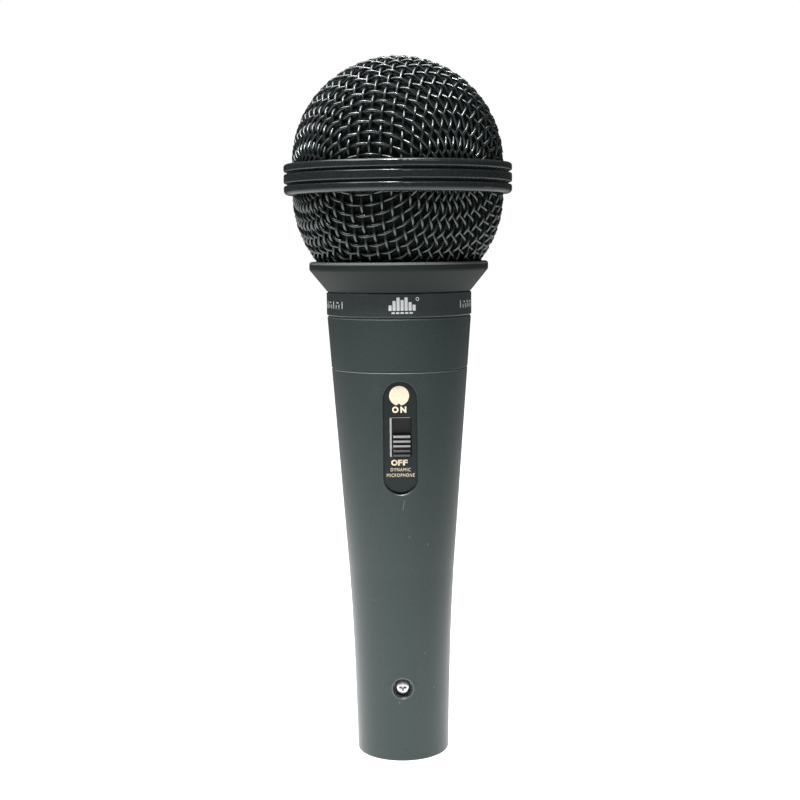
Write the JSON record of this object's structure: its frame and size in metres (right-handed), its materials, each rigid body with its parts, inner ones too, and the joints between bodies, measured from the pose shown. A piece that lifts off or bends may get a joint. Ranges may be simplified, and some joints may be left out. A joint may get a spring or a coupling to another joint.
{
  "type": "handheld dynamic microphone",
  "caption": "Handheld dynamic vocal microphone with a ball-shaped wire grille, tapered metal handle, on/off slide switch and a male three-pin audio connector in the tail.",
  "frame": {"origin": "centre of the tail rim, in the plane the microphone stands on", "axes": "+Z along the microphone's axis from tail to grille; -Y towards the switch; +X to the right seen from the switch side"},
  "size_m": [0.055, 0.055, 0.1705],
  "materials": {
    "handle_paint": "satin",
    "band_paint": "satin",
    "belt_enamel": "gloss",
    "mesh_wire": "satin",
    "bare_steel": "satin",
    "nickel": "polished",
    "soft_iron": "satin",
    "magnet": "satin",
    "copper": "satin",
    "gold_contact": "polished",
    "silver_contact": "satin",
    "foam": "matte",
    "felt": "matte",
    "rubber": "matte",
    "black_plastic": "satin",
    "grey_plastic": "satin",
    "knob_plastic": "satin",
    "plate_enamel": "satin",
    "phenolic": "satin",
    "film": "gloss",
    "lead_red": "satin",
    "lead_black": "satin",
    "lead_green": "satin"
  },
  "bodies": {
    "handle": {"barrel": "handle_paint", "neck_sleeve": "handle_paint", "shock_mount": "rubber", "capsule_housing": "black_plastic", "yoke": "soft_iron", "front_plate": "soft_iron", "magnet": "magnet", "pole_piece": "soft_iron", "diaphragm_clamp": "grey_plastic", "capsule_front_cap": "black_plastic", "capsule_screen": "foam", "capsule_felt": "felt", "capsule_back_cover": "black_plastic", "capsule_tab_cold": "silver_contact", "capsule_tab_hot": "silver_contact", "switch_plate": "plate_enamel", "switch_frame": "bare_steel", "switch_housing": "phenolic", "switch_tab_cold": "silver_contact", "switch_tab_hot": "silver_contact", "switch_screw_lower": "nickel", "switch_screw_upper": "nickel", "xlr_shell": "nickel", "xlr_insulator": "black_plastic", "xlr_pin_1": "gold_contact", "xlr_pin_2": "gold_contact", "xlr_pin_3": "gold_contact", "xlr_lock_screw": "nickel", "xlr_ground_washer": "silver_contact", "capsule_lead_cold": "lead_black", "capsule_lead_hot": "lead_red", "tail_lead_cold": "lead_black", "tail_lead_hot": "lead_red", "ground_lead": "lead_green"},
    "switch_slider": {"switch_knob": "knob_plastic", "switch_actuator": "grey_plastic", "switch_contact": "silver_contact"},
    "band": {"name_band": "band_paint"},
    "grille": {"collar": "handle_paint", "collar_clamp_ring": "bare_steel", "grille_basket": "mesh_wire", "grille_dome": "mesh_wire", "belt_ring": "belt_enamel", "grille_inner_ring": "bare_steel", "foam_windscreen": "foam"},
    "moving_coil": {"diaphragm": "film", "voice_coil": "copper"}
  },
  "joints": [
    {"name": "switch_slide", "type": "slide", "parent": "handle", "child": "switch_slider", "axis": [0, -0.0726, 0.9974], "range_m": [0, 0.0034]},
    {"name": "grille_turn", "type": "hinge", "parent": "handle", "child": "band", "pos_m": [0, 0, 0.1115], "axis": [0, 0, 1], "range_deg": [0, 1080]},
    {"name": "grille_rise", "type": "slide", "parent": "band", "child": "grille", "axis": [0, 0, 1], "range_m": [0, 0.003]},
    {"name": "diaphragm_travel", "type": "slide", "parent": "handle", "child": "moving_coil", "axis": [0, 0, 1], "range_m": [-0.0003, 0.0003], "stiffness_N_per_m": 400, "springref_m": 0.00003}
  ],
  "couplings": [
    {"joint": "grille_rise", "follows": "grille_turn", "m_per_rad": 0.00015915}
  ]
}
